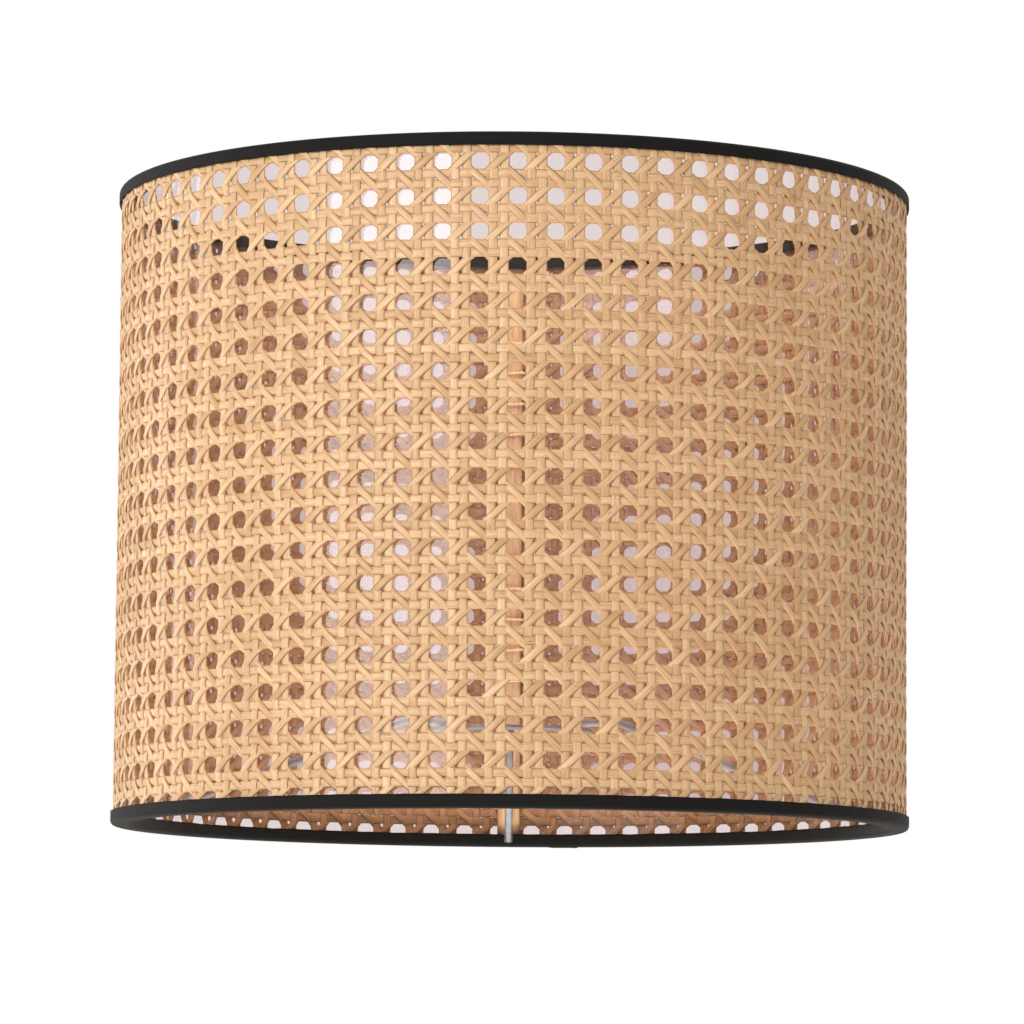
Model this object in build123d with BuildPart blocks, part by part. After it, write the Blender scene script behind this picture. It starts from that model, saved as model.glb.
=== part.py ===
"""Drum lamp shade: open cane webbing between two wire hoops, with a recessed three-arm fitter.

Millimetres, +Z up. The origin is the centre of the lampholder hole, at the fitter plate's underside.
-Y is the front of the shade, and the webbing's seam is at the back, at +Y.
"""

from build123d import *
import math
import os

# Whole shade
overall_diameter = 300.0
overall_height = 240.0
fitter_recess = 36.0  # from the bottom rim up to the fitter plate's underside
bottom_rim_z = -fitter_recess
top_rim_z = bottom_rim_z + overall_height

# Black cotton tape folded over each rim
tape_thickness = 0.65
tape_height = 5.0
tape_edge_radius = 0.5
tape_outer_radius = overall_diameter / 2

# Woven cane, as thick as its crossed strands
weave_pitch_z = 12.5  # from one row of holes to the next
first_hole_drop = 10.5  # from the top rim down to the first row of holes
cane_thickness = 2.2
cane_outer_radius = tape_outer_radius - tape_thickness - 0.1
cane_inner_radius = cane_outer_radius - cane_thickness
cane_rim_gap = 0.1
cane_bottom_z = bottom_rim_z + tape_thickness + cane_rim_gap
cane_top_z = top_rim_z - tape_thickness - cane_rim_gap
webbing_end_gap = 0.8  # between the two cut ends of the webbing

# Clear film that backs the webbing and keeps its shape
fit_gap = 0.05
film_thickness = 0.3
film_outer_radius = cane_inner_radius - fit_gap
film_inner_radius = film_outer_radius - film_thickness

# Steel wire hoops inside the folded tape
wire_radius = 1.5
hoop_radius = film_inner_radius - fit_gap - wire_radius
hoop_rim_offset = tape_thickness + 0.1 + wire_radius
bottom_hoop_z = bottom_rim_z + hoop_rim_offset
top_hoop_z = top_rim_z - hoop_rim_offset
tape_inner_radius = hoop_radius - wire_radius - 0.15 - tape_thickness

# Fitter plate for an E27 lampholder
fitter_hole_radius = 20.5
fitter_outer_radius = 31.0
fitter_thickness = 1.5
fitter_edge_radius = 0.3

# Spider arms
arm_angles = {"front_right": -30.0, "back": 90.0, "front_left": 210.0}
arm_start_radius = 22.5
arm_bend_radius_from_axis = 46.0
arm_bend = 14.0
arm_z = fitter_thickness + wire_radius
arm_notch_width = 3.8
arm_notch_floor = 0.3  # of tape left under an arm, above the fold at the rim

# Seam at the back
seam_width = 9.0
batten_thickness = 1.5
strip_thickness = 0.4
seam_end_gap = 0.15
seam_bottom_z = bottom_rim_z + tape_height + seam_end_gap
seam_height = overall_height - 2 * (tape_height + seam_end_gap)
stitch_count = 18
thread_thickness = 0.25
thread_height = 0.9
stitch_hole_clearance = 0.2


def write(piece, name):
    """Label a finished piece and write it as parts/<name>.step."""
    piece.part.label = name
    export_step(piece.part, f"parts/{name}.step")


def radial_plane(angle):
    """The plane through the shade's axis at this angle, with its x outwards and its y up."""
    turn = math.radians(angle)
    outward = (math.cos(turn), math.sin(turn), 0)
    return Plane(origin=(0, 0, 0), x_dir=outward, z_dir=(math.sin(turn), -math.cos(turn), 0))


def wire_hoop(hoop_z):
    """A closed hoop of round wire."""
    with BuildPart(Plane.XY.offset(hoop_z)) as hoop:
        Torus(hoop_radius, wire_radius)
    return hoop


def rim_tape(rim_z, inward):
    """Tape folded round a rim: an outer leg, the rim itself, and an inner leg. inward is +1 or -1."""
    middle_radius = (tape_outer_radius + tape_inner_radius) / 2
    width = tape_outer_radius - tape_inner_radius
    channel_z = rim_z + inward * (tape_height / 2 + tape_thickness)
    with BuildPart() as tape:
        with BuildSketch(Plane.XZ) as fold:
            with Locations((middle_radius, rim_z + inward * tape_height / 2)):
                Rectangle(width, tape_height)
            fillet(fold.vertices().group_by(Axis.Z)[0 if inward > 0 else -1], tape_edge_radius)
            with Locations((middle_radius, channel_z)):
                Rectangle(width - 2 * tape_thickness, tape_height, mode=Mode.SUBTRACT)
        revolve(axis=Axis.Z)
    return tape


def spider_arm(angle):
    """A wire arm, level where it is welded to the fitter plate, then sloping down to the bottom hoop."""
    run = hoop_radius - arm_bend_radius_from_axis
    drop = bottom_hoop_z - arm_z
    reach = 1 - (wire_radius + fit_gap) / math.hypot(run, drop)
    end = (arm_bend_radius_from_axis + run * reach, arm_z + drop * reach)
    with BuildPart() as arm:
        with BuildLine(radial_plane(angle)) as route:
            FilletPolyline((arm_start_radius, arm_z), (arm_bend_radius_from_axis, arm_z), end, radius=arm_bend)
        with BuildSketch(Plane(origin=route.line @ 0, z_dir=route.line % 0)):
            Circle(wire_radius)
        sweep()
    return arm


def drum_layer(inner_radius, outer_radius):
    """A wall of the drum between these radii, open along the seam, with a hole for each leg of a stitch."""
    with BuildPart() as layer:
        with BuildSketch(Plane.XY.offset(cane_bottom_z)):
            Circle(outer_radius)
            Circle(inner_radius, mode=Mode.SUBTRACT)
            with Locations((0, outer_radius)):
                Rectangle(webbing_end_gap, 4 * cane_thickness, mode=Mode.SUBTRACT)
        extrude(amount=cane_top_z - cane_bottom_z)
        with Locations(*leg_places):
            Box(
                thread_thickness + stitch_hole_clearance,
                4 * cane_thickness,
                thread_height + stitch_hole_clearance,
                mode=Mode.SUBTRACT,
            )
    return layer


def seam_layer(inner_radius, outer_radius):
    """A strip along the seam that follows the curve of the webbing, between these two radii."""
    with BuildPart() as layer:
        with BuildSketch(Plane.XY.offset(seam_bottom_z)):
            Circle(outer_radius)
            Circle(inner_radius, mode=Mode.SUBTRACT)
            with Locations((0, (inner_radius + outer_radius) / 2)):
                Rectangle(seam_width, seam_width, mode=Mode.INTERSECT)
        extrude(amount=seam_height)
    return layer


os.makedirs("parts", exist_ok=True)

# Stitches: loops of flat thread, one to each row of holes, through the webbing and the film
loop_width = seam_width + 0.5
loop_outer_y = tape_outer_radius
batten_inner_radius = film_inner_radius - fit_gap - batten_thickness
loop_inner_y = batten_inner_radius - 0.15 - thread_thickness
loop_depth = loop_outer_y - loop_inner_y
top_stitch_z = top_rim_z - first_hole_drop
stitch_heights = [top_stitch_z - i * weave_pitch_z for i in range(stitch_count)]
stitch_places = [(0, (loop_outer_y + loop_inner_y) / 2, z) for z in stitch_heights]

with BuildPart() as seam_stitches:
    with Locations(*stitch_places):
        Box(loop_width + 2 * thread_thickness, loop_depth, thread_height)
        Box(loop_width, loop_depth - 2 * thread_thickness, thread_height, mode=Mode.SUBTRACT)
write(seam_stitches, "seam_stitches")

# Webbing, as the outer shape of the woven cane, and the clear film behind it
leg_x = (loop_width + thread_thickness) / 2
leg_places = [(side * leg_x, cane_outer_radius, z) for z in stitch_heights for side in (-1, 1)]

cane_webbing = drum_layer(cane_inner_radius, cane_outer_radius)
write(cane_webbing, "cane_webbing")

clear_film = drum_layer(film_inner_radius, film_outer_radius)
write(clear_film, "clear_film")

# Batten inside the seam, and the flat cane strip that covers it outside
seam_batten = seam_layer(batten_inner_radius, film_inner_radius - fit_gap)
write(seam_batten, "seam_batten_inner")

seam_strip = seam_layer(cane_outer_radius + fit_gap, cane_outer_radius + fit_gap + strip_thickness)
write(seam_strip, "seam_strip_outer")

# Hoops
top_hoop = wire_hoop(top_hoop_z)
write(top_hoop, "top_hoop")

bottom_hoop = wire_hoop(bottom_hoop_z)
write(bottom_hoop, "bottom_hoop")

# Rim tapes; the bottom one is slit where the arms pass through to the hoop
top_rim_tape = rim_tape(top_rim_z, -1)
write(top_rim_tape, "top_rim_tape")

slit_floor_z = bottom_rim_z + tape_thickness + arm_notch_floor
bottom_rim_tape = rim_tape(bottom_rim_z, 1)
with bottom_rim_tape:
    with PolarLocations(tape_inner_radius, len(arm_angles), start_angle=min(arm_angles.values())):
        with Locations((0, 0, slit_floor_z)):
            Box(
                2 * tape_thickness + 0.2,
                arm_notch_width,
                tape_height,
                align=(Align.CENTER, Align.CENTER, Align.MIN),
                mode=Mode.SUBTRACT,
            )
write(bottom_rim_tape, "bottom_rim_tape")

# Fitter plate
with BuildPart() as fitter_plate:
    with BuildSketch():
        Circle(fitter_outer_radius)
    extrude(amount=fitter_thickness)
    fillet(fitter_plate.edges(), fitter_edge_radius)
    Hole(fitter_hole_radius)
write(fitter_plate, "fitter_plate")

# Spider arms
for place, angle in arm_angles.items():
    write(spider_arm(angle), f"spider_arm_{place}")
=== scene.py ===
"""The cane drum shade: woven strands, folded tape rims, stitched seam and zinc-plated spider, in metres.

The webbing is drawn as real strands on the drum's wall. A place on the wall is a column number, with an
upright pair at each whole number, and a row number, with a crosswise pair at each whole number. The round
holes are at the halves, and the diagonals pass between them. Angles go round from the front towards +X.
"""

import math

import bmesh
import bpy
import numpy as np
from mathutils import Matrix, Vector, noise


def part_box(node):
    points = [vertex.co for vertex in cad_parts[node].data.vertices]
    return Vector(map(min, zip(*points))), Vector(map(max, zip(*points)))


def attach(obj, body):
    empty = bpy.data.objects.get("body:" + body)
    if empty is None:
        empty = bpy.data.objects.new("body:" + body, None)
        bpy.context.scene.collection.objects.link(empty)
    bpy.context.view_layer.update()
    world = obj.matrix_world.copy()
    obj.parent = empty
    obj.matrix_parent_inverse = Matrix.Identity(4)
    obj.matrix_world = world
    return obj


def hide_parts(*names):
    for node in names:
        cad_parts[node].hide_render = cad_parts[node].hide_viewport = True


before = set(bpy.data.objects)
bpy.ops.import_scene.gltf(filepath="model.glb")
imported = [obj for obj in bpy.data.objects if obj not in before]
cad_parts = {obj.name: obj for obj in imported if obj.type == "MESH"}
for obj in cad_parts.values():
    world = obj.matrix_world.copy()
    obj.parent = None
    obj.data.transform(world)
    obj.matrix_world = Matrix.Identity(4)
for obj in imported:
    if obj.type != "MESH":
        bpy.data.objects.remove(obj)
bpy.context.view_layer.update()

MM = 0.001
CANE_LOW, CANE_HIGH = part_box("cane_webbing")
CANE_RADIUS = CANE_HIGH.x
FILM_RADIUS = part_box("clear_film")[1].x
TAPE_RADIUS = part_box("top_rim_tape")[1].x
RIM_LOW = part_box("bottom_rim_tape")[0].z
RIM_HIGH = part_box("top_rim_tape")[1].z
TAPE_HEIGHT = RIM_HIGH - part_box("top_rim_tape")[0].z
MIDDLE = (RIM_LOW + RIM_HIGH) / 2
HOOP_LOW, HOOP_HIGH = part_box("bottom_hoop")
WIRE_RADIUS = (HOOP_HIGH.z - HOOP_LOW.z) / 2
HOOP_RADIUS = HOOP_HIGH.x - WIRE_RADIUS
STRIP_LOW, STRIP_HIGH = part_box("seam_strip_outer")
BATTEN_LOW, BATTEN_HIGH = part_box("seam_batten_inner")
STITCHES_LOW, STITCHES_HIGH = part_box("seam_stitches")
PLATE_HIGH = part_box("fitter_plate")[1]
BACK_ARM_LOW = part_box("spider_arm_back")[0]
ARM_ANGLES = {"front_right": math.radians(60), "back": math.pi, "front_left": math.radians(-60)}

# Weave
COLUMNS = 69
ROW_PITCH = 12.5 * MM
TOP_PAIR_DROP = 4.25 * MM  # from the top rim down to the first crosswise pair
PAIR_ROWS = 19
FRONT_HOLE_ANGLE = 0.006  # the hole column nearest the front stands this far round
BACK_DRIFT = -0.25  # of a column, where the webbing has stretched unevenly on its way round to the back
SIDE_DRIFT = -1.0  # of a column, one way behind the right side and the other way behind the left
QUARTER_DRIFT = -0.5  # the same, four times on the way round
BACK_RISE = 1.2 * MM  # how much higher the rows run at the back
UPRIGHT_WIDTH = 3.25 * MM
UPRIGHT_SLIT = 0.75 * MM
CROSSWISE_WIDTH = 3.1 * MM
CROSSWISE_SLIT = 0.35 * MM
DIAGONAL_WIDTH = 2.75 * MM
STRAND_THICKNESS = 0.66 * MM
STRAND_SAMPLES = 8  # along a strand, to each cell
DIAGONAL_SAMPLES = 6
LOCK_LIFT = 0.43  # of a strand's thickness, over and under the strands that it crosses
WANDER = 0.1 * MM  # how far a strand strays sideways
WIDTH_SPREAD = 0.05  # how much strands differ in width, and then how much each one changes along its length
WIDTH_WAVER = 0.03
WALL_RIPPLE = 0.14 * MM  # how far the drum's wall is out of round
WEBBING_END_GAP = 0.8 * MM
FILM_THICKNESS = 0.3 * MM
FILM_EDGE = 0.5 * MM  # a narrow band of faces along each edge
FILM_LEVELS = 12  # of points up the wall, between those bands
FILM_STEPS = 720

WALL_RADIUS = CANE_RADIUS - 1.5 * STRAND_THICKNESS
CELL_ANGLE = 2 * math.pi / COLUMNS
CELL_WIDTH = CELL_ANGLE * WALL_RADIUS
UPRIGHT_OFFSET = (UPRIGHT_WIDTH + UPRIGHT_SLIT) / 2
CROSSWISE_OFFSET = (CROSSWISE_WIDTH + CROSSWISE_SLIT) / 2

# Cross-sections: across, from -1 to 1, then height in thicknesses, with the polished skin on top
STRAND_SECTION = np.array([
    (-1.0, -0.12), (-0.84, 0.26), (-0.36, 0.47), (0.36, 0.47),
    (0.84, 0.26), (1.0, -0.12), (0.7, -0.48), (-0.7, -0.48),
])
DIAGONAL_SECTION = np.array([
    (-1.0, -0.1), (-0.62, 0.42), (0.62, 0.42), (1.0, -0.1), (0.7, -0.48), (-0.7, -0.48),
])
STRIP_SECTION = np.array([
    (-1.0, -0.3), (-0.96, 0.2), (-0.8, 0.44), (0.0, 0.5), (0.8, 0.44),
    (0.96, 0.2), (1.0, -0.3), (0.94, -0.5), (0.0, -0.5), (-0.94, -0.5),
])
BATTEN_SECTION = np.array([
    (-1.0, -0.3), (-0.97, 0.05), (-0.86, 0.33), (-0.55, 0.48), (0.0, 0.53), (0.55, 0.48), (0.86, 0.33),
    (0.97, 0.05), (1.0, -0.3), (0.95, -0.5), (0.0, -0.5), (-0.95, -0.5),
])
PITH_HEIGHT = -0.45  # a section's points below this are on its dull pith side

rng = np.random.default_rng(20)


# Places on the wall

def backness(angle):
    """0 at the front, rising smoothly to 1 at the back."""
    return (1 - np.cos(angle)) / 2


def angle_of(column):
    """How far round a column stands, with the webbing's uneven stretch behind the sides."""
    even = FRONT_HOLE_ANGLE + (column - 0.5) * CELL_ANGLE
    far = backness(even)
    sway = SIDE_DRIFT * np.sin(even) + QUARTER_DRIFT * np.sin(2 * even)
    return even + (BACK_DRIFT * far + sway * far**2) * CELL_ANGLE


def height_of(row, angle):
    """Row 0 is the highest crosswise pair, and rows go down from it."""
    return RIM_HIGH - TOP_PAIR_DROP - row * ROW_PITCH + BACK_RISE * backness(angle)


def row_of(z, angle):
    """The row at this height, as height_of has them."""
    return (RIM_HIGH - TOP_PAIR_DROP + BACK_RISE * backness(angle) - z) / ROW_PITCH


def on_wall(angle, radius, z):
    """Points at these angles, radii and heights."""
    return np.stack([radius * np.sin(angle), -radius * np.cos(angle), z], axis=-1)


def outward_at(angle):
    """The way out of the wall, level."""
    return on_wall(angle, np.ones_like(angle), np.zeros_like(angle))


def wall_ripple(angle, z):
    """The wall's small lean in and out, none at the rims and the seam, which hold it."""
    rise = np.clip((z - RIM_LOW) / (RIM_HIGH - RIM_LOW), 0, 1)
    swells = np.sin(3 * angle + 1.1) * np.sin(2.1 * np.pi * rise + 0.4)
    flutes = 0.6 * np.sin(8 * angle - 3 * rise)
    free_of_rims = np.sin(np.pi * rise)
    free_of_seam = 1 - backness(angle) ** 40
    return WALL_RIPPLE * (swells + flutes) * free_of_rims * free_of_seam


# Meshes

def unit(v):
    """These vectors at a length of 1."""
    return v / np.linalg.norm(v, axis=-1, keepdims=True)


def slow_noise(count, samples, periods):
    """One slowly changing random line for each strand, about -1 to 1."""
    along = np.linspace(0, 1, samples)[None, :]
    total = np.zeros((count, samples))
    for weight, rate in ((0.6, periods), (0.3, periods * 2.3), (0.15, periods * 5.1)):
        start = rng.uniform(0, 2 * np.pi, (count, 1))
        stretch = rng.uniform(0.8, 1.2, (count, 1))
        total += weight * np.sin(2 * np.pi * rate * stretch * along + start)
    return total


def new_mesh(name, points, faces, attributes=()):
    """An object from points and faces, smooth shaded, with named values on its points."""
    mesh = bpy.data.meshes.new(name)
    mesh.from_pydata(points, [], faces)
    mesh.update()
    mesh.polygons.foreach_set("use_smooth", np.ones(len(mesh.polygons), bool))
    for label, kind, values in attributes:
        layer = mesh.attributes.new(label, kind, "POINT")
        field = "vector" if kind == "FLOAT_VECTOR" else "value"
        layer.data.foreach_set(field, np.asarray(values, np.float32).ravel())
    piece = bpy.data.objects.new(name, mesh)
    bpy.context.scene.collection.objects.link(piece)
    return piece


def skin(name, points, place, closed=False, pith=None):
    """Tubes over points (tube, sample, ring, xyz), with end caps unless each tube closes on itself.

    place is where on its strand each point is, and pith is 1 on the strand's dull side.
    """
    count, samples, ring, _ = points.shape
    number = np.arange(count * samples * ring).reshape(count, samples, ring)
    here, ahead = (number, np.roll(number, -1, axis=1)) if closed else (number[:, :-1], number[:, 1:])
    walls = np.stack([here, np.roll(here, -1, axis=2), np.roll(ahead, -1, axis=2), ahead], axis=-1)
    faces = [walls.reshape(-1, 4)]
    if not closed:
        for k in range(ring // 2 - 1):
            corners = [k, k + 1, ring - 2 - k, ring - 1 - k]
            faces += [number[:, 0][:, corners[::-1]], number[:, -1][:, corners]]
    attributes = [("cane", "FLOAT_VECTOR", place)]
    if pith is not None:
        attributes.append(("pith", "FLOAT", pith))
    return new_mesh(name, points.reshape(-1, 3), np.concatenate(faces), attributes)


def sweep(name, centres, outward, widths, thicknesses, section, closed=False):
    """Ribbons along centres (ribbon, sample, xyz) that face outward, with this section."""
    if closed:
        forward = unit(np.roll(centres, -1, axis=1) - np.roll(centres, 1, axis=1))
    else:
        forward = unit(np.gradient(centres, axis=1))
    face = unit(outward - (outward * forward).sum(-1, keepdims=True) * forward)
    side = np.cross(forward, face)
    across = section[:, 0] / 2 * widths[..., None]
    rise = section[:, 1] * thicknesses[..., None]
    points = (
        centres[:, :, None, :]
        + side[:, :, None, :] * across[..., None]
        + face[:, :, None, :] * rise[..., None]
    )
    points[..., 2] = np.clip(points[..., 2], CANE_LOW.z, CANE_HIGH.z)  # cut off level inside the rims
    count, samples, ring, _ = points.shape
    step = np.linalg.norm(np.diff(centres, axis=1), axis=-1)
    along = np.concatenate([np.zeros((count, 1)), np.cumsum(step, axis=1)], axis=1)
    place = np.empty(points.shape)
    place[..., 0] = along[:, :, None]
    place[..., 1] = section[:, 0]
    place[..., 2] = rng.uniform(0, 1, count)[:, None, None]
    pith = np.broadcast_to(section[:, 1] < PITH_HEIGHT, (count, samples, ring))
    return skin(name, points, place, closed, pith)


# Webbing

def weave(name, columns, rows, lift, width, sideways, section):
    """A set of strands through these columns and rows (strand, sample).

    lift is out of the wall in thicknesses, and sideways is round it in metres.
    """
    count, samples = columns.shape
    angle = angle_of(columns) + sideways / WALL_RADIUS
    z = height_of(rows, angle)
    radius = WALL_RADIUS + lift * STRAND_THICKNESS + wall_ripple(angle, z)
    own_width = width * rng.uniform(1 - WIDTH_SPREAD, 1 + WIDTH_SPREAD, (count, 1))
    widths = own_width * (1 + WIDTH_WAVER * slow_noise(count, samples, 4))
    thicknesses = np.full((count, samples), STRAND_THICKNESS)
    return sweep(name, on_wall(angle, radius, z), outward_at(angle), widths, thicknesses, section)


def lock_wave(cell):
    """The lift of a strand that goes over one strand of each crossing pair and under the other."""
    turn = 2 * np.pi * cell
    return LOCK_LIFT * (np.sin(turn) + 0.5 * np.sin(2 * turn))


def float_wave(cell):
    """The lift of a diagonal: a long float over the pairs at whole numbers and under them at the halves."""
    steepness = 2.2
    return np.tanh(steepness * np.cos(2 * np.pi * cell)) / math.tanh(steepness)


def grid_line(first, last, per_cell):
    """Places from first to last, which end each line, with the even parts of every cell between them."""
    inner = np.arange(math.floor(first.max() * per_cell) + 1, math.ceil(last.min() * per_cell)) / per_cell
    inner = np.broadcast_to(inner, (len(first), len(inner)))
    return np.concatenate([first[:, None], inner, last[:, None]], axis=1)


def rows_down(starts, lean, per_cell):
    """Rows from the webbing's top edge to its bottom one, for strands that lean this many columns a row.

    The row at an edge depends on the angle there, and the angle on the row, so they are found by repeating.
    """
    first, last = np.zeros_like(starts), np.full_like(starts, PAIR_ROWS)
    for _ in range(4):
        first = row_of(CANE_HIGH.z, angle_of(starts + lean * first))
        last = row_of(CANE_LOW.z, angle_of(starts + lean * last))
    return grid_line(first, last, per_cell)


def uprights(name, hand):
    """The upright strand on one side of every pair; hand is -1 for the left and +1 for the right."""
    starts = np.arange(COLUMNS) + hand * UPRIGHT_OFFSET / CELL_WIDTH
    rows = rows_down(starts, 0, STRAND_SAMPLES)
    sideways = WANDER * slow_noise(*rows.shape, 3)
    columns = starts[:, None] + np.zeros_like(rows)
    return weave(name, columns, rows, hand * lock_wave(rows), UPRIGHT_WIDTH, sideways, STRAND_SECTION)


def crosswise(name, hand):
    """The crosswise strand on one side of every pair, cut at the back seam; hand is -1 for the upper."""
    seam_column = (math.pi - FRONT_HOLE_ANGLE) / CELL_ANGLE + 0.5 - BACK_DRIFT
    cut = WEBBING_END_GAP / 2 / CELL_WIDTH
    every = np.ones(PAIR_ROWS)
    columns = grid_line((seam_column - COLUMNS + cut) * every, (seam_column - cut) * every, STRAND_SAMPLES)
    rows = np.arange(PAIR_ROWS)[:, None] + hand * CROSSWISE_OFFSET / ROW_PITCH
    rows = rows + WANDER * slow_noise(*columns.shape, 9) / ROW_PITCH
    lift = -hand * lock_wave(columns)
    level = np.zeros_like(columns)
    return weave(name, columns, rows, lift, CROSSWISE_WIDTH, level, STRAND_SECTION)


def diagonals(name):
    """Both sets of diagonals; each set passes over the pairs that the other passes under."""
    starts = np.tile(np.arange(COLUMNS) + 0.5, 2)
    lean = np.repeat([1.0, -1.0], COLUMNS)
    rows = rows_down(starts, lean, DIAGONAL_SAMPLES)
    columns = starts[:, None] + lean[:, None] * rows
    sideways = WANDER * slow_noise(*rows.shape, 4)
    lift = lean[:, None] * float_wave(rows)
    return weave(name, columns, rows, lift, DIAGONAL_WIDTH, sideways, DIAGONAL_SECTION)


def clear_film():
    """The thin clear shell behind the webbing, open at the seam."""
    end = math.pi - WEBBING_END_GAP / 2 / FILM_RADIUS
    inner_heights = np.linspace(CANE_HIGH.z - FILM_EDGE, CANE_LOW.z + FILM_EDGE, FILM_LEVELS)
    heights = np.concatenate([[CANE_HIGH.z], inner_heights, [CANE_LOW.z]])
    z = np.concatenate([heights, heights[::-1]])[None, :]
    radius = np.repeat([FILM_RADIUS, FILM_RADIUS - FILM_THICKNESS], len(heights))[None, :]
    angle = np.linspace(-end, end, FILM_STEPS + 1)[:, None]
    points = on_wall(*np.broadcast_arrays(angle, radius, z))[None]
    return skin("film", points, np.zeros_like(points))


# Seam

SEAM_SAMPLES = 61
STRIP_GAP = 0.05 * MM  # between the webbing and the strip
STRIP_WAVER = 0.05 * MM  # how far the strip is from straight
STRIP_WIDTH_WAVER = 0.02  # how much the strip and the batten change along their length
BATTEN_WIDTH_WAVER = 0.015
BATTEN_DEPTH_WAVER = 0.03
BATTEN_GAP = 0.1 * MM  # so that the batten's flat back clears the curved film
STITCH_COUNT = 18
STITCH_SAMPLES = 96
STITCH_SLANT = 0.35 * MM  # the most that a stitch's ends differ in height from its middle
STITCH_LEAST_BOW = 0.1 * MM
STITCH_MOST_BOW = 0.35 * MM
THREAD_HEIGHT = 0.9 * MM
PLY_RADIUS = 0.25 * MM
PLY_OFFSET = 0.8 * PLY_RADIUS  # from the thread's middle to a ply's
PLY_TURNS = 11
PLY_SIDES = 8
THREAD_CLEARANCE = 1.6 * PLY_RADIUS  # from the thread's middle to what it is sewn round


def seam_line(radius, low, high):
    """A line up the seam at this radius, and the way that it faces."""
    z = np.linspace(low, high, SEAM_SAMPLES)[None, :]
    angle = np.full_like(z, math.pi)
    return on_wall(angle, np.full_like(z, radius), z), outward_at(angle)


def seam_strip():
    """The flat cane strip that covers the webbing's two ends outside."""
    thickness = STRIP_HIGH.y - CANE_RADIUS - STRIP_GAP
    centres, outward = seam_line(STRIP_HIGH.y - thickness / 2, STRIP_LOW.z, STRIP_HIGH.z)
    centres = centres + outward * STRIP_WAVER * slow_noise(1, SEAM_SAMPLES, 4)[..., None]
    widths = (STRIP_HIGH.x - STRIP_LOW.x) * (1 + STRIP_WIDTH_WAVER * slow_noise(1, SEAM_SAMPLES, 5))
    thicknesses = np.full((1, SEAM_SAMPLES), thickness)
    return sweep("seam_strip", centres, outward, widths, thicknesses, STRIP_SECTION)


def seam_batten():
    """The split rattan batten behind the seam, with its round side inwards."""
    outer = BATTEN_HIGH.y - BATTEN_GAP
    thickness = outer - BATTEN_LOW.y
    centres, outward = seam_line(outer - thickness / 2, BATTEN_LOW.z, BATTEN_HIGH.z)
    widths = (BATTEN_HIGH.x - BATTEN_LOW.x) * (1 + BATTEN_WIDTH_WAVER * slow_noise(1, SEAM_SAMPLES, 6))
    thicknesses = thickness * (1 + BATTEN_DEPTH_WAVER * slow_noise(1, SEAM_SAMPLES, 8))
    return sweep("seam_batten", centres, -outward, widths, thicknesses, BATTEN_SECTION)


def rounded_loop(half_width, low, high, samples):
    """Evenly spaced points round a rectangle with rounded corners, and which way they face.

    The outline is a superellipse, which has flat sides and tight, smooth corners.
    """
    middle, half_height = (low + high) / 2, (high - low) / 2
    squareness = 0.25
    fine_steps = 4000
    turn = np.linspace(0, 2 * np.pi, fine_steps + 1)
    x = half_width * np.sign(np.cos(turn)) * np.abs(np.cos(turn)) ** squareness
    y = half_height * np.sign(np.sin(turn)) * np.abs(np.sin(turn)) ** squareness
    length = np.concatenate([[0], np.cumsum(np.hypot(np.diff(x), np.diff(y)))])
    even = np.linspace(0, length[-1], samples, endpoint=False)
    x, y = np.interp(even, length, x), np.interp(even, length, y)
    tangent = unit(np.stack([np.roll(x, -1) - np.roll(x, 1), np.roll(y, -1) - np.roll(y, 1)], axis=-1))
    return x, y + middle, np.stack([tangent[:, 1], -tangent[:, 0], np.zeros(samples)], axis=-1)


def stitches():
    """Loops of two-ply thread round the strip, the webbing, the film and the batten."""
    half_width = (STRIP_HIGH.x - STRIP_LOW.x) / 2 + THREAD_CLEARANCE
    low, high = BATTEN_LOW.y - THREAD_CLEARANCE, STRIP_HIGH.y + THREAD_CLEARANCE
    x, y, facing = rounded_loop(half_width, low, high, STITCH_SAMPLES)
    ends = (STITCHES_HIGH.z - THREAD_HEIGHT / 2, STITCHES_LOW.z + THREAD_HEIGHT / 2)
    heights = np.linspace(*ends, STITCH_COUNT)
    slant = rng.uniform(-STITCH_SLANT, STITCH_SLANT, STITCH_COUNT)
    bow = rng.uniform(STITCH_LEAST_BOW, STITCH_MOST_BOW, STITCH_COUNT)
    across = x / x.max()
    outer = (y - y.mean()) / np.ptp(y) * 2
    z = heights[:, None] + slant[:, None] * across * outer + bow[:, None] * (1 - across**2) * outer
    middle_line = np.stack([*np.broadcast_arrays(x, y, z)], axis=-1)
    turn = 2 * np.pi * PLY_TURNS * np.arange(STITCH_SAMPLES) / STITCH_SAMPLES
    up = np.array([0.0, 0.0, 1.0])
    away = facing * np.cos(turn)[:, None] + up * np.sin(turn)[:, None]
    centres = np.concatenate([middle_line + hand * PLY_OFFSET * away for hand in (-1, 1)])
    outward = np.broadcast_to(facing, centres.shape)
    spokes = -np.arange(PLY_SIDES) * 2 * math.pi / PLY_SIDES
    round_section = np.stack([np.cos(spokes), np.sin(spokes) / 2], axis=-1)
    size = np.full(centres.shape[:2], 2 * PLY_RADIUS)
    return sweep("seam_thread", centres, outward, size, size, round_section, closed=True)


# Rim tapes

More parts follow.
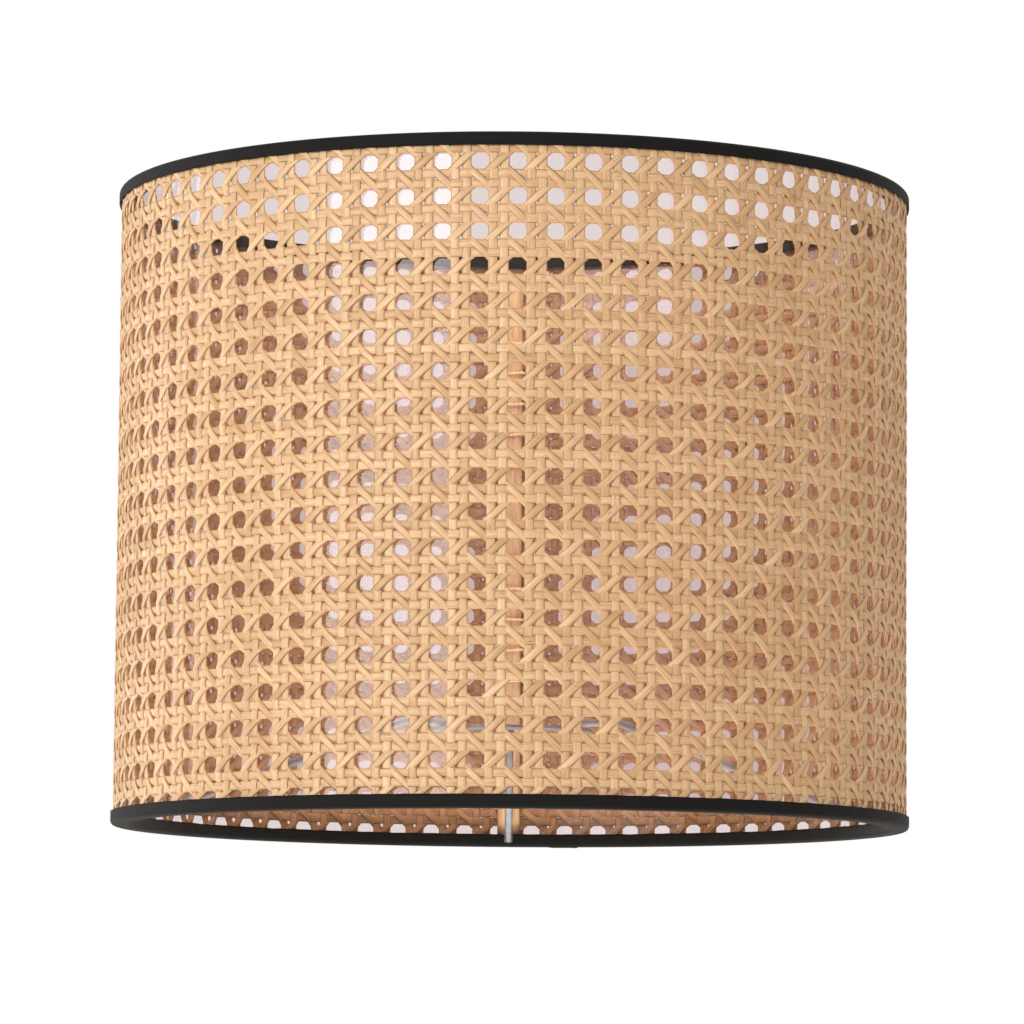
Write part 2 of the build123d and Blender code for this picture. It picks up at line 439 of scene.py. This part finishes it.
TAPE_THICKNESS = 0.62 * MM
TAPE_BEND = 1.25 * MM  # the radius of the fold's middle line
TAPE_INNER_GAP = 0.15 * MM  # between the hoop and the inner leg
TAPE_HEM = 0.16 * MM  # how far the tape's rounded edges stand past its middle line
TAPE_STEPS = 960
TAPE_LEAST_STEP = 1e-4  # radians; of two points nearer than this, one is left out
FINE_REACH = 2.8 * MM  # how far the fine steps go, each way from a slit's side or a lap's end
FINE_STEPS = 28
OUTER_EDGE_WAVE = 0.12 * MM  # how uneven the tape's two edges are
INNER_EDGE_WAVE = 0.22 * MM
OUTER_LEG_WAVE = 0.07 * MM  # how far the outer leg is from flat
PUCKER = 0.28 * MM  # how far the inner leg stands in at its edge, because it goes round a smaller circle
SLIT_HALF_WIDTH = 1.95 * MM
SLIT_SIDE = 0.3 * MM  # the width of the slope at each side of a slit
SLIT_FLOOR = 1.2 * MM  # from the rim to the foot of a slit
SLIT_REST = 0.02  # of the inner leg's height above that, so that no face there is flattened to nothing
LAP_LENGTH = 13 * MM
LAP_RISE = 0.25 * MM
LAP_END = 0.35 * MM  # the width of the slope at the lapped end
LAP_FADE = 3 * MM  # the same at the lap's other end, where it settles down
TURN_IN_RISE = 0.35  # of the lap's rise, where its end is turned in
TURN_IN_PLACE = 1.2 * MM
TURN_IN_WIDTH = 0.8 * MM
TAPE_LAP_ANGLES = {"top": math.pi + 0.16, "bottom": math.pi - 0.19}

# Where the points of the fold lie: up a leg from its bend, round a bend, and across the rim
LEG_PARTS = np.array([1.0, 0.72, 0.36, 0.0])
BEND_TURNS = np.radians([18, 36, 54, 72, 90])
RIM_PARTS = np.array([0.2, 0.5, 0.8])
INNER_SIDE = len(LEG_PARTS) + len(BEND_TURNS) + len(RIM_PARTS)  # the first point past the rim


def tape_angles(centres):
    """Steps round the rim, with fine ones near these angles."""
    even = np.arange(TAPE_STEPS) * 2 * np.pi / TAPE_STEPS
    fine = np.linspace(-FINE_REACH, FINE_REACH, FINE_STEPS + 1) / TAPE_RADIUS
    angles = np.unique(np.concatenate([even, *(centre + fine for centre in centres)]) % (2 * np.pi))
    return angles[np.append(True, np.diff(angles) > TAPE_LEAST_STEP)]


def away_from(angle, centre):
    """The distance round the rim from centre, in metres, signed."""
    return ((angle - centre + np.pi) % (2 * np.pi) - np.pi) * TAPE_RADIUS


def smooth_step(x):
    """0 up to 0, 1 from 1, and a smooth rise between them."""
    x = np.clip(x, 0, 1)
    return x * x * (3 - 2 * x)


def round_noise(angle, rates):
    """A random line round the rim that joins up with itself, about -1 to 1."""
    total = sum(np.sin(rate * angle + rng.uniform(0, 2 * np.pi)) * rng.uniform(0.6, 1) for rate in rates)
    return total / len(rates)


def slit_opening(angle, slits):
    """1 where the inner leg of the tape is whole, and 0 inside a slit."""
    whole = np.ones_like(angle)
    for slit in slits:
        past = np.abs(away_from(angle, slit)) - SLIT_HALF_WIDTH
        whole *= smooth_step(past / SLIT_SIDE + 1 / 3)
    return whole


def lap_lift(angle, lap_angle):
    """How far the lapped end stands off the tape under it: a turned-in end, then a fading step."""
    past = away_from(angle, lap_angle)
    lift = smooth_step(past / LAP_END) * smooth_step((LAP_LENGTH - past) / LAP_FADE)
    turn_in = TURN_IN_RISE * np.exp(-(((past - TURN_IN_PLACE) / TURN_IN_WIDTH) ** 2))
    return LAP_RISE * lift * (1 + turn_in)


def fold_line(outer_height, inner_height):
    """The fold's middle line, and the way that it faces, for legs of these heights round the rim.

    It runs down the outer leg, round a bend, across the rim, round a bend and up the inner leg. x is out
    from the shade's axis, and y is in from the rim.
    """
    ones = np.ones((len(outer_height), 1))
    leg_ones = np.ones_like(LEG_PARTS)
    outer_x = TAPE_RADIUS - TAPE_THICKNESS / 2
    inner_x = HOOP_RADIUS - WIRE_RADIUS - TAPE_INNER_GAP - TAPE_THICKNESS / 2
    x = np.concatenate([
        outer_x * leg_ones,
        outer_x - TAPE_BEND + TAPE_BEND * np.cos(BEND_TURNS),
        outer_x - TAPE_BEND + (inner_x - outer_x + 2 * TAPE_BEND) * RIM_PARTS,
        inner_x + TAPE_BEND - TAPE_BEND * np.cos(BEND_TURNS[::-1]),
        inner_x * leg_ones,
    ]) * ones
    corner_y = TAPE_THICKNESS / 2 + TAPE_BEND
    bend_y = corner_y - TAPE_BEND * np.sin(BEND_TURNS)
    y = np.concatenate([
        corner_y + (outer_height - corner_y)[:, None] * LEG_PARTS,
        bend_y * ones,
        np.full_like(RIM_PARTS, TAPE_THICKNESS / 2) * ones,
        bend_y[::-1] * ones,
        corner_y + (inner_height - corner_y)[:, None] * LEG_PARTS[::-1],
    ], axis=1)
    out, down = np.cos(BEND_TURNS), np.sin(BEND_TURNS)
    facing_x = np.concatenate([leg_ones, out, np.zeros_like(RIM_PARTS), -out[::-1], -leg_ones])
    facing_y = -np.concatenate([0 * leg_ones, down, np.ones_like(RIM_PARTS), down[::-1], 0 * leg_ones])
    return x, y, facing_x, facing_y


def rim_tape(name, rim_z, inward, lap_angle, slits):
    """Tape folded round a rim, with its end lapped over its start. inward is +1 at the bottom rim."""
    lap_edge = lap_angle + LAP_LENGTH / TAPE_RADIUS
    slit_edges = [slit + hand * SLIT_HALF_WIDTH / TAPE_RADIUS for slit in slits for hand in (-1, 1)]
    angle = tape_angles([lap_angle, lap_edge, *slit_edges])
    outer_height = TAPE_HEIGHT - TAPE_HEM + OUTER_EDGE_WAVE * round_noise(angle, (7, 19, 41, 67, 113))
    inner_height = TAPE_HEIGHT - TAPE_HEM + INNER_EDGE_WAVE * round_noise(angle, (11, 29, 47, 83, 131))
    x, y, facing_x, facing_y = fold_line(outer_height, inner_height)

    whole = slit_opening(angle, slits)
    above_floor = y[:, INNER_SIDE:] - SLIT_FLOOR
    cut_down = SLIT_FLOOR + above_floor * (SLIT_REST + (1 - SLIT_REST) * whole)[:, None]
    y[:, INNER_SIDE:] = np.where(above_floor > 0, cut_down, y[:, INNER_SIDE:])
    run = np.concatenate([[0], np.cumsum(np.hypot(np.diff(x[0]), np.diff(y[0])))])

    # The inner leg puckers, most at its edge, and the outer one is not quite flat
    pucker = PUCKER * (0.5 + 0.5 * round_noise(angle, (97, 131, 149, 173)))
    x[:, -len(LEG_PARTS):] -= (pucker * whole)[:, None] * np.array([0.1, 0.35, 0.7, 1.0])
    sway = OUTER_LEG_WAVE * round_noise(angle, (13, 31, 59, 101))
    x[:, :len(LEG_PARTS)] += sway[:, None] * np.array([0.6, 1.0, 0.8, 0.3])

    # Round the tape's section: its outside, its inner edge, its inside and its outer edge
    front = (TAPE_THICKNESS / 2 + lap_lift(angle, lap_angle))[:, None]
    back = TAPE_THICKNESS / 2
    ring_x = [x + facing_x * front, x[:, -1:], (x - facing_x * back)[:, ::-1], x[:, :1]]
    ring_y = [
        y + facing_y * front, y[:, -1:] + TAPE_HEM, (y - facing_y * back)[:, ::-1], y[:, :1] + TAPE_HEM
    ]
    ring_x, ring_y = np.concatenate(ring_x, axis=1), np.concatenate(ring_y, axis=1)
    around = np.broadcast_to(angle[:, None], ring_x.shape)
    points = on_wall(around, ring_x, rim_z + inward * ring_y)[None]
    across = np.broadcast_to(np.concatenate([run, run[-1:], run[::-1], run[:1]]), ring_x.shape)
    place = np.stack([around * TAPE_RADIUS, across, np.zeros_like(around)], axis=-1)
    if inward < 0:
        points, place = points[:, :, ::-1], place[:, ::-1]
    piece = skin(name, points, place, closed=True)
    return piece


# Welds

ARM_BEND_RADIUS = 46 * MM  # from the axis to where an arm starts to slope down
PLATE_BEAD_SHARE = 0.36  # a bead's half-length, of an arm's length on the plate
PLATE_BEAD_WIDTH = 0.85 * MM  # half-sizes, across the arm and up
PLATE_BEAD_HEIGHT = 0.75 * MM
PLATE_BEAD_OFFSET = 1.2 * MM  # from the arm's middle
PLATE_BEAD_STAGGER = 0.3 * MM  # one out along the arm, and the other in
PLATE_BEAD_RISE = 0.25 * MM
HOOP_BEAD_LENGTH = 2.3 * MM  # half-sizes, along the hoop, along the arm and across both
HOOP_BEAD_DEPTH = 0.9 * MM
HOOP_BEAD_WIDTH = 1.45 * MM


def compass(angle):
    """Out from the axis, sideways and up, at this angle."""
    out = Vector((math.sin(angle), -math.cos(angle), 0))
    side = Vector((math.cos(angle), math.sin(angle), 0))
    return out, side, Vector((0, 0, 1))


def bead(points, faces, centre, axes, seed):
    """Adds one lumpy drop of weld; axes are its three half-sizes as vectors."""
    ball = bmesh.new()
    bmesh.ops.create_icosphere(ball, subdivisions=3, radius=1)
    first = len(points)
    turn = Matrix(axes).transposed()
    for v in ball.verts:
        lumps = 0.16 * noise.noise(v.co * 1.7 + Vector((seed, 0, 0)))
        grain = 0.05 * noise.noise(v.co * 6)
        points.append(centre + turn @ (v.co * (1 + lumps + grain)))
    faces += [[first + v.index for v in f.verts] for f in ball.faces]
    ball.free()


def plate_weld(place, angle):
    """A bead on each side of an arm, where it lies on the plate."""
    out, side, up = compass(angle)
    middle = (BACK_ARM_LOW.y + PLATE_HIGH.x) / 2
    length = (PLATE_HIGH.x - BACK_ARM_LOW.y) * PLATE_BEAD_SHARE
    axes = (out * length, side * PLATE_BEAD_WIDTH, up * PLATE_BEAD_HEIGHT)
    points, faces = [], []
    for hand in (-1, 1):
        centre = out * (middle + hand * PLATE_BEAD_STAGGER) + side * hand * PLATE_BEAD_OFFSET
        centre += up * (PLATE_HIGH.z + PLATE_BEAD_RISE)
        bead(points, faces, centre, axes, angle + hand)
    return new_mesh(f"plate_weld_{place}", points, faces)


def hoop_weld(place, angle):
    """The bead where an arm's end meets the bottom hoop."""
    out, side, up = compass(angle)
    hoop_z = (HOOP_LOW.z + HOOP_HIGH.z) / 2
    rise = PLATE_HIGH.z + WIRE_RADIUS - hoop_z
    slope = (up * rise - out * (HOOP_RADIUS - ARM_BEND_RADIUS)).normalized()
    centre = out * HOOP_RADIUS + up * hoop_z + slope * WIRE_RADIUS
    axes = (side * HOOP_BEAD_LENGTH, slope * HOOP_BEAD_DEPTH, side.cross(slope) * HOOP_BEAD_WIDTH)
    points, faces = [], []
    bead(points, faces, centre, axes, angle)
    return new_mesh(f"hoop_weld_{place}", points, faces)


# Material nodes

def material(name):
    """A new material, its node tree and its shader."""
    made = bpy.data.materials.new(name)
    made.use_nodes = True
    return made, made.node_tree, made.node_tree.nodes["Principled BSDF"]


def set_inputs(made, **values):
    """Sets inputs of a node by name, with _ for each space."""
    for key, value in values.items():
        made.inputs[key.replace("_", " ")].default_value = value


def plug(tree, socket, value):
    """Links a socket, or sets a number or a colour."""
    if isinstance(value, bpy.types.NodeSocket):
        tree.links.new(value, socket)
    elif isinstance(value, tuple):
        socket.default_value = (*value, 1)
    else:
        socket.default_value = value


def calc(tree, operation, *values):
    """A Math node of sockets or numbers."""
    made = tree.nodes.new("ShaderNodeMath")
    made.operation = operation
    for socket, value in zip(made.inputs, values):
        plug(tree, socket, value)
    return made.outputs[0]


def ramp(tree, factor, *stops):
    """A colour ramp; stops are (place, colour)."""
    made = tree.nodes.new("ShaderNodeValToRGB")
    elements = made.color_ramp.elements
    while len(elements) < len(stops):
        elements.new(0.5)
    for element, (place, colour) in zip(elements, stops):
        element.position = place
        element.color = (*colour, 1)
    tree.links.new(factor, made.inputs["Fac"])
    return made.outputs["Color"]


def multiply(tree, factor, a, b):
    """Darkens colour a by colour b, as far as factor says."""
    made = tree.nodes.new("ShaderNodeMix")
    made.data_type = "RGBA"
    made.blend_type = "MULTIPLY"
    plug(tree, made.inputs[0], factor)
    plug(tree, made.inputs[6], a)
    plug(tree, made.inputs[7], b)
    return made.outputs[2]


def clouds(tree, vector, scale, detail=3.0, roughness=0.55):
    """Soft noise from 0 to 1, mostly near a half."""
    made = tree.nodes.new("ShaderNodeTexNoise")
    set_inputs(made, Scale=scale, Detail=detail, Roughness=roughness)
    tree.links.new(vector, made.inputs["Vector"])
    return made.outputs["Fac"]


def attribute(tree, name, output):
    """A named value on the mesh's points."""
    made = tree.nodes.new("ShaderNodeAttribute")
    made.attribute_name = name
    return made.outputs[output]


def split(tree, vector):
    """A vector's X, Y and Z."""
    made = tree.nodes.new("ShaderNodeSeparateXYZ")
    tree.links.new(vector, made.inputs[0])
    return made.outputs


def stretched(tree, vector, scales):
    """A vector with each part multiplied by its own scale."""
    made = tree.nodes.new("ShaderNodeVectorMath")
    made.operation = "MULTIPLY"
    made.inputs[1].default_value = scales
    tree.links.new(vector, made.inputs[0])
    return made.outputs[0]


def bump(tree, shader, height, strength, distance):
    """Makes a shader's surface rough to the light, as this height says."""
    made = tree.nodes.new("ShaderNodeBump")
    set_inputs(made, Strength=strength, Distance=distance)
    tree.links.new(height, made.inputs["Height"])
    tree.links.new(made.outputs["Normal"], shader.inputs["Normal"])


# Materials

def cane_material(name, light, dark, roughness, pith_tint, fibre_contrast):
    """Split cane: a polished skin with fine fibre lines, darker towards its sides, and a dull pith side.

    The strand's own coordinates are along it in metres, across it from -1 to 1, and its random number. So
    the scales of each noise are for a metre along, for half the width, and from one strand to the next.
    """
    made, tree, shader = material(name)
    place = attribute(tree, "cane", "Vector")
    _, across, seed = split(tree, place)

    # Colour: patches along each strand, and some strands paler than others
    patches = clouds(tree, stretched(tree, place, (26, 0.25, 37)), 1.0, detail=4)
    paleness = calc(tree, "MULTIPLY_ADD", seed, 0.5, -0.04)
    tone = calc(tree, "MULTIPLY_ADD", patches, 0.62, paleness)
    middle = tuple((a + b) / 2 for a, b in zip(light, dark))
    colour = ramp(tree, tone, (0.12, dark), (0.48, middle), (0.86, light))

    # Fine fibre lines, broader streaks and a few dark specks
    fibres = clouds(tree, stretched(tree, place, (140, 5.5, 91)), 1.0, detail=5, roughness=0.7)
    lines = ramp(tree, fibres, (0.3, (0.7, 0.64, 0.56)), (0.58, (1, 1, 1)))
    colour = multiply(tree, fibre_contrast, colour, lines)
    streaks = clouds(tree, stretched(tree, place, (65, 2.1, 23)), 1.0, detail=3, roughness=0.6)
    streaks = ramp(tree, streaks, (0.36, (0.78, 0.71, 0.61)), (0.56, (1, 1, 1)))
    colour = multiply(tree, fibre_contrast, colour, streaks)
    specks = clouds(tree, stretched(tree, place, (420, 2.2, 57)), 1.0, detail=2)
    specks = ramp(tree, specks, (0.27, (0.42, 0.3, 0.2)), (0.36, (1, 1, 1)))
    colour = multiply(tree, 0.55, colour, specks)

    # The strand is darker towards its two sides, and the pith side has its own tint
    edge = calc(tree, "POWER", calc(tree, "ABSOLUTE", across), 6.0)
    colour = multiply(tree, calc(tree, "MULTIPLY", edge, 0.6), colour, (0.62, 0.45, 0.31))
    pith = attribute(tree, "pith", "Fac")
    colour = multiply(tree, pith, colour, pith_tint)
    tree.links.new(colour, shader.inputs["Base Color"])

    rough = calc(tree, "MULTIPLY_ADD", fibres, 0.22, roughness - 0.1)
    rough = calc(tree, "MULTIPLY_ADD", pith, 0.2, rough)
    tree.links.new(rough, shader.inputs["Roughness"])
    bump(tree, shader, fibres, 0.4, 0.12 * MM)
    return made


def thread_material():
    """Waxed linen: pale, with fibres that run along the plies."""
    made, tree, shader = material("linen_thread")
    place = attribute(tree, "cane", "Vector")
    fibres = clouds(tree, stretched(tree, place, (900, 3, 71)), 1.0, detail=4, roughness=0.65)
    dark, middle, light = (0.46, 0.32, 0.17), (0.74, 0.56, 0.34), (0.9, 0.76, 0.54)
    colour = ramp(tree, fibres, (0.3, dark), (0.5, middle), (0.72, light))
    tree.links.new(colour, shader.inputs["Base Color"])
    set_inputs(shader, Roughness=0.62, Sheen_Weight=0.2, Sheen_Roughness=0.4)
    bump(tree, shader, fibres, 0.5, 0.08 * MM)
    return made


def tape_material():
    """Black cotton twill: fine slanting ribs, crossed by finer threads, with a little lint, and painted
    shade in the grooves.

    The tape's own coordinates are along it and across it, in metres.
    """
    made, tree, shader = material("black_twill")
    place = attribute(tree, "cane", "Vector")
    along, across, _ = split(tree, place)
    rib_pitch, thread_pitch = 0.62 * MM, 0.3 * MM
    slant = calc(tree, "ADD", along, across)
    ribs = calc(tree, "SINE", calc(tree, "MULTIPLY", slant, 2 * math.pi / rib_pitch))
    threads = calc(tree, "SINE", calc(tree, "MULTIPLY", along, 2 * math.pi / thread_pitch))
    lint = clouds(tree, place, 2600.0, detail=4, roughness=0.7)
    height = calc(tree, "MULTIPLY_ADD", lint, 1.2, calc(tree, "MULTIPLY_ADD", threads, 0.3, ribs))
    # Painted shade and highlight: the colour follows the weave's height, darker in the grooves and lighter
    # on the rib tops
    shade = calc(tree, "MULTIPLY_ADD", height, 0.22, 0.35)
    groove_painted_shade, thread_side_painted_half_shade, rib_top_painted_highlight = (0.002, 0.0017, 0.0012), (0.006, 0.0053, 0.0042), (0.016, 0.0142, 0.0118)
    colour = ramp(tree, shade, (0.0, groove_painted_shade), (0.7, thread_side_painted_half_shade), (1.0, rib_top_painted_highlight))
    wear = clouds(tree, stretched(tree, place, (40, 160, 1)), 1.0, detail=3)
    wear = ramp(tree, wear, (0.4, (0.8, 0.8, 0.8)), (0.7, (1, 1, 1)))
    colour = multiply(tree, 1.0, colour, wear)
    tree.links.new(colour, shader.inputs["Base Color"])
    tree.links.new(calc(tree, "MULTIPLY_ADD", lint, 0.3, 0.5), shader.inputs["Roughness"])
    set_inputs(shader, Sheen_Weight=0.03, Sheen_Roughness=0.35, Specular_IOR_Level=0.2)
    bump(tree, shader, height, 0.45, 0.06 * MM)
    return made


def zinc_material(name, tint, roughness, streak):
    """Zinc plating: a soft metal with faint cloudy spangle and drawn or rolled streaks.

    streak is how fine the streaks are along X, Y and Z.
    """
    made, tree, shader = material(name)
    place = tree.nodes.new("ShaderNodeTexCoord").outputs["Object"]
    spangle = clouds(tree, place, 90.0, detail=5, roughness=0.6)
    grain = clouds(tree, stretched(tree, place, streak), 1.0, detail=4, roughness=0.7)
    dull = tuple(c * 0.72 for c in tint)
    pale = tuple(min(1.0, c * 1.14) for c in tint)
    colour = ramp(tree, spangle, (0.3, dull), (0.5, tint), (0.7, pale))
    tree.links.new(colour, shader.inputs["Base Color"])
    rough = calc(tree, "MULTIPLY_ADD", grain, 0.22, roughness - 0.11)
    rough = calc(tree, "MULTIPLY_ADD", spangle, 0.12, rough)
    tree.links.new(rough, shader.inputs["Roughness"])
    set_inputs(shader, Metallic=0.95)
    bump(tree, shader, grain, 0.25, 0.05 * MM)
    return made


# Painted shade: the film itself is clear, and this pink-grey tint dims all that is seen through it, in
# place of dimmer light behind the shade
FILM_PAINTED_SHADE_TINT = (0.885, 0.83, 0.825, 1)  # what one face lets through
FILM_LEAST_GLOSS = 0.032  # the share mirrored head on, and how much more is mirrored edge on
FILM_MORE_GLOSS = 0.96


def film_material():
    """Clear plastic film: it lets light straight through, and mirrors more of it towards grazing angles."""
    made, tree, shader = material("clear_film")
    tree.nodes.remove(shader)
    place = tree.nodes.new("ShaderNodeTexCoord").outputs["Object"]
    haze = clouds(tree, stretched(tree, place, (60, 60, 25)), 1.0, detail=4)
    waves = clouds(tree, stretched(tree, place, (34, 34, 9)), 1.0, detail=2)
    gloss = tree.nodes.new("ShaderNodeBsdfGlossy")
    tree.links.new(calc(tree, "MULTIPLY_ADD", haze, 0.1, 0.05), gloss.inputs["Roughness"])
    bump(tree, gloss, waves, 0.5, 0.3 * MM)
    clear = tree.nodes.new("ShaderNodeBsdfTransparent")
    # painted shade: the tint dims and pinks what shows through the film
    set_inputs(clear, Color=FILM_PAINTED_SHADE_TINT)
    angle = tree.nodes.new("ShaderNodeLayerWeight").outputs["Facing"]
    share = calc(tree, "MULTIPLY_ADD", calc(tree, "POWER", angle, 5.0), FILM_MORE_GLOSS, FILM_LEAST_GLOSS)
    mixed = tree.nodes.new("ShaderNodeMixShader")
    tree.links.new(share, mixed.inputs[0])
    tree.links.new(clear.outputs[0], mixed.inputs[1])
    tree.links.new(gloss.outputs[0], mixed.inputs[2])
    tree.links.new(mixed.outputs[0], tree.nodes["Material Output"].inputs["Surface"])
    return made


# Stage, light and camera

EYE_DISTANCE = 2.11  # level, from the shade's axis
EYE_BELOW_RIM = 0.104
EYE_AZIMUTH = math.radians(0.17)
EYE_ROLL = 0.0076
LENS = 197.0
FLOOR_DROP = 1.2  # from the bottom rim down to the floor
FLOOR_EDGE = 6.0  # from the middle, where the floor has faded out
FLOOR_FADE_START = 1.5
INNER_LIGHT_GAP = 0.35  # from each rim to the small light beyond it
INNER_LIGHT_SIZE = (0.26, 0.26)


def area_light(name, place, size, power, colour):
    """A rectangular light that shines at the middle of the shade."""
    lamp = bpy.data.lights.new(name, "AREA")
    lamp.shape = "RECTANGLE"
    lamp.size, lamp.size_y = size
    lamp.energy = power
    lamp.color = colour
    holder = bpy.data.objects.new(name, lamp)
    bpy.context.scene.collection.objects.link(holder)
    holder.location = place
    aim = Vector((0, 0, MIDDLE)) - Vector(place)
    holder.rotation_euler = aim.to_track_quat("-Z", "Y").to_euler()
    return holder


def floor_material():
    """A pale floor that fades into the white surround, and is seen from above only."""
    made, tree, shader = material("pale_floor")
    set_inputs(shader, Base_Color=(0.93, 0.93, 0.92, 1), Roughness=0.7)
    place = tree.nodes.new("ShaderNodeTexCoord").outputs["Object"]
    x, y, _ = split(tree, place)
    square = calc(tree, "MULTIPLY_ADD", x, x, calc(tree, "MULTIPLY", y, y))
    past = calc(tree, "SUBTRACT", calc(tree, "SQRT", square), FLOOR_FADE_START)
    fade = calc(tree, "DIVIDE", past, FLOOR_EDGE - FLOOR_FADE_START)
    fade = calc(tree, "MINIMUM", calc(tree, "MAXIMUM", fade, 0.0), 1.0)
    underside = tree.nodes.new("ShaderNodeNewGeometry").outputs["Backfacing"]
    mixed = tree.nodes.new("ShaderNodeMixShader")
    tree.links.new(calc(tree, "MAXIMUM", fade, underside), mixed.inputs[0])
    tree.links.new(shader.outputs[0], mixed.inputs[1])
    tree.links.new(tree.nodes.new("ShaderNodeBsdfTransparent").outputs[0], mixed.inputs[2])
    tree.links.new(mixed.outputs[0], tree.nodes["Material Output"].inputs["Surface"])
    return made


def white_surround():
    """A world that looks pure white to the camera, and gives a slightly warmer and dimmer light."""
    world = bpy.data.worlds.new("studio")
    bpy.context.scene.world = world
    world.use_nodes = True
    tree = world.node_tree
    seen = tree.nodes["Background"]
    set_inputs(seen, Color=(1, 1, 1, 1))
    lit = tree.nodes.new("ShaderNodeBackground")
    set_inputs(lit, Color=(1.0, 0.965, 0.93, 1), Strength=0.64)
    rays = tree.nodes.new("ShaderNodeLightPath")
    choose = tree.nodes.new("ShaderNodeMixShader")
    tree.links.new(rays.outputs["Is Camera Ray"], choose.inputs[0])
    tree.links.new(lit.outputs[0], choose.inputs[1])
    tree.links.new(seen.outputs[0], choose.inputs[2])
    tree.links.new(choose.outputs[0], tree.nodes["World Output"].inputs["Surface"])


def stage():
    """A pale floor well below the shade, a white surround and soft lights."""
    z = RIM_LOW - FLOOR_DROP
    corners = [(x * FLOOR_EDGE, y * FLOOR_EDGE, z) for x, y in ((-1, -1), (1, -1), (1, 1), (-1, 1))]
    floor = new_mesh("floor", corners, [(0, 1, 2, 3)])
    floor.data.materials.append(floor_material())
    white_surround()
    area_light("key", place=(-1.5, -2.06, 0.35), size=(1.86, 1.0), power=36.5, colour=(1.0, 1.0, 1.0))
    area_light("rim", place=(-2.17, 1.0, 0.2), size=(1.0, 1.2), power=14, colour=(1.0, 0.97, 0.94))
    area_light("fill", place=(2.0, -1.6, 0.3), size=(1.4, 1.4), power=4.2, colour=(1.0, 0.84, 0.68))

    # Two small lights that reach only the inside, in place of the light that a white room sends in there
    for name, z, power, colour in (
        ("inside", RIM_HIGH + INNER_LIGHT_GAP, 5.2, (1.0, 0.96, 0.89)),
        ("bounce", RIM_LOW - INNER_LIGHT_GAP, 4.5, (1.0, 0.97, 0.94)),
    ):
        holder = area_light(name, (0, 0, z), INNER_LIGHT_SIZE, power, colour)
        holder.visible_camera = False
        holder.visible_glossy = False


def place_camera():
    """The eye is below the bottom rim, far off, and looks up at the middle of the shade."""
    data = bpy.data.cameras.new("camera")
    data.lens = LENS
    camera = bpy.data.objects.new("camera", data)
    bpy.context.scene.collection.objects.link(camera)
    sideways, away = math.sin(EYE_AZIMUTH), math.cos(EYE_AZIMUTH)
    eye = Vector((-EYE_DISTANCE * sideways, -EYE_DISTANCE * away, RIM_LOW - EYE_BELOW_RIM))
    aim = (Vector((0, 0, MIDDLE)) - eye).to_track_quat("-Z", "Y").to_matrix().to_4x4()
    camera.matrix_world = Matrix.Translation(eye) @ aim @ Matrix.Rotation(EYE_ROLL, 4, "Z")
    bpy.context.scene.camera = camera


# Putting it together

def add(piece, finish, replaced=None):
    """Gives a piece its material, puts it on the root body, and hides the node that it stands for."""
    piece.data.materials.append(finish)
    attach(piece, "root")
    if replaced:
        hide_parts(replaced)


film = film_material()
cane = cane_material(
    "cane",
    light=(0.87, 0.6, 0.35),
    dark=(0.62, 0.37, 0.178),
    roughness=0.4,
    pith_tint=(1.06, 1.16, 1.16),
    fibre_contrast=0.62,
)
binding = cane_material(
    "binding_cane",
    light=(0.8, 0.55, 0.3),
    dark=(0.62, 0.37, 0.17),
    roughness=0.36,
    pith_tint=(0.9, 0.77, 0.7),
    fibre_contrast=0.6,
)
rattan = cane_material(
    "split_rattan",
    light=(0.74, 0.52, 0.31),
    dark=(0.55, 0.34, 0.17),
    roughness=0.62,
    pith_tint=(0.95, 0.9, 0.85),
    fibre_contrast=0.9,
)
thread = thread_material()
twill = tape_material()
zinc_wire = zinc_material("zinc_wire", tint=(0.6, 0.61, 0.63), roughness=0.36, streak=(60, 60, 700))
zinc_plate = zinc_material("zinc_plate", tint=(0.63, 0.64, 0.66), roughness=0.34, streak=(900, 50, 50))
weld_zinc = zinc_material("weld_zinc", tint=(0.42, 0.42, 0.44), roughness=0.5, streak=(500, 500, 500))

lattice = diagonals("webbing_diagonals")
strands = [
    uprights("webbing_uprights_left", -1),
    uprights("webbing_uprights_right", 1),
    crosswise("webbing_crosswise_upper", -1),
    crosswise("webbing_crosswise_lower", 1),
]
for strand_set in [lattice, *strands]:
    add(strand_set, cane, "cane_webbing")

add(clear_film(), film, "clear_film")
add(seam_strip(), binding, "seam_strip_outer")
add(seam_batten(), rattan, "seam_batten_inner")
add(stitches(), thread, "seam_stitches")

add(rim_tape("top_tape", RIM_HIGH, -1, TAPE_LAP_ANGLES["top"], []), twill, "top_rim_tape")
bottom_tape = rim_tape("bottom_tape", RIM_LOW, 1, TAPE_LAP_ANGLES["bottom"], ARM_ANGLES.values())
add(bottom_tape, twill, "bottom_rim_tape")

for place, angle in ARM_ANGLES.items():
    add(plate_weld(place, angle), weld_zinc)
    add(hoop_weld(place, angle), weld_zinc)
    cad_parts[f"spider_arm_{place}"].material_slots[0].material = zinc_wire
for hoop in ("top_hoop", "bottom_hoop"):
    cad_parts[hoop].material_slots[0].material = zinc_wire
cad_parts["fitter_plate"].material_slots[0].material = zinc_plate

stage()
place_camera()
bpy.context.scene.view_settings.view_transform = "Standard"
